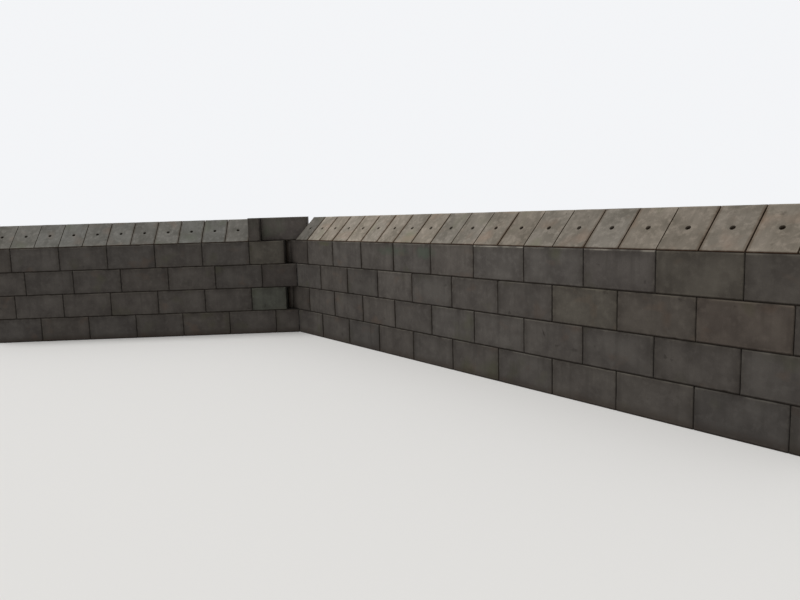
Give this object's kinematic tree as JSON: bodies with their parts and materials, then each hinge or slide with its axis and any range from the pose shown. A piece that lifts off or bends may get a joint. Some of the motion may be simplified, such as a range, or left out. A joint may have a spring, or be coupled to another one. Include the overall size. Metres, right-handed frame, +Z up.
{
  "type": "interlocking concrete block wall",
  "caption": "Free-standing dry-laid wall of interlocking precast concrete blocks with sloped cap blocks; its wings meet at a blunt inside corner.",
  "frame": {"origin": "middle of the wall's footprint box, at the foot of the ground course", "axes": "+X along the long wing towards its free end, +Y towards the back of the long wing, +Z up"},
  "size_m": [23.3436, 9.4982, 4],
  "materials": {
    "wall_block_concrete": "cast concrete, grey, streaked and blotchy",
    "corner_block_concrete": "cast concrete, grey, with a greenish tinge near the top",
    "cap_block_concrete": "trowelled concrete, pale warm grey"
  },
  "bodies": {
    "root": {"corner_closers": "wall_block_concrete", "corner_plain_block": "corner_block_concrete", "corner_quarter_block": "corner_block_concrete", "left_bay_1_caps": "cap_block_concrete", "left_bay_1_course_1": "wall_block_concrete", "left_bay_1_course_2": "wall_block_concrete", "left_bay_1_course_3": "wall_block_concrete", "left_bay_1_course_4": "wall_block_concrete", "left_bay_2_caps": "cap_block_concrete", "left_bay_2_course_1": "wall_block_concrete", "left_bay_2_course_2": "wall_block_concrete", "left_bay_2_course_3": "wall_block_concrete", "left_bay_2_course_4": "wall_block_concrete", "left_bay_3_caps": "cap_block_concrete", "left_bay_3_course_1": "wall_block_concrete", "left_bay_3_course_2": "wall_block_concrete", "left_bay_3_course_3": "wall_block_concrete", "left_bay_3_course_4": "wall_block_concrete", "right_bay_1_caps": "cap_block_concrete", "right_bay_1_course_1": "wall_block_concrete", "right_bay_1_course_2": "wall_block_concrete", "right_bay_1_course_3": "wall_block_concrete", "right_bay_1_course_4": "wall_block_concrete", "right_bay_2_caps": "cap_block_concrete", "right_bay_2_course_1": "wall_block_concrete", "right_bay_2_course_2": "wall_block_concrete", "right_bay_2_course_3": "wall_block_concrete", "right_bay_2_course_4": "wall_block_concrete", "right_bay_3_caps": "cap_block_concrete", "right_bay_3_course_1": "wall_block_concrete", "right_bay_3_course_2": "wall_block_concrete", "right_bay_3_course_3": "wall_block_concrete", "right_bay_3_course_4": "wall_block_concrete", "right_bay_4_caps": "cap_block_concrete", "right_bay_4_course_1": "wall_block_concrete", "right_bay_4_course_2": "wall_block_concrete", "right_bay_4_course_3": "wall_block_concrete", "right_bay_4_course_4": "wall_block_concrete", "right_bay_5_caps": "cap_block_concrete", "right_bay_5_course_1": "wall_block_concrete", "right_bay_5_course_2": "wall_block_concrete", "right_bay_5_course_3": "wall_block_concrete", "right_bay_5_course_4": "wall_block_concrete"}
  },
  "joints": []
}
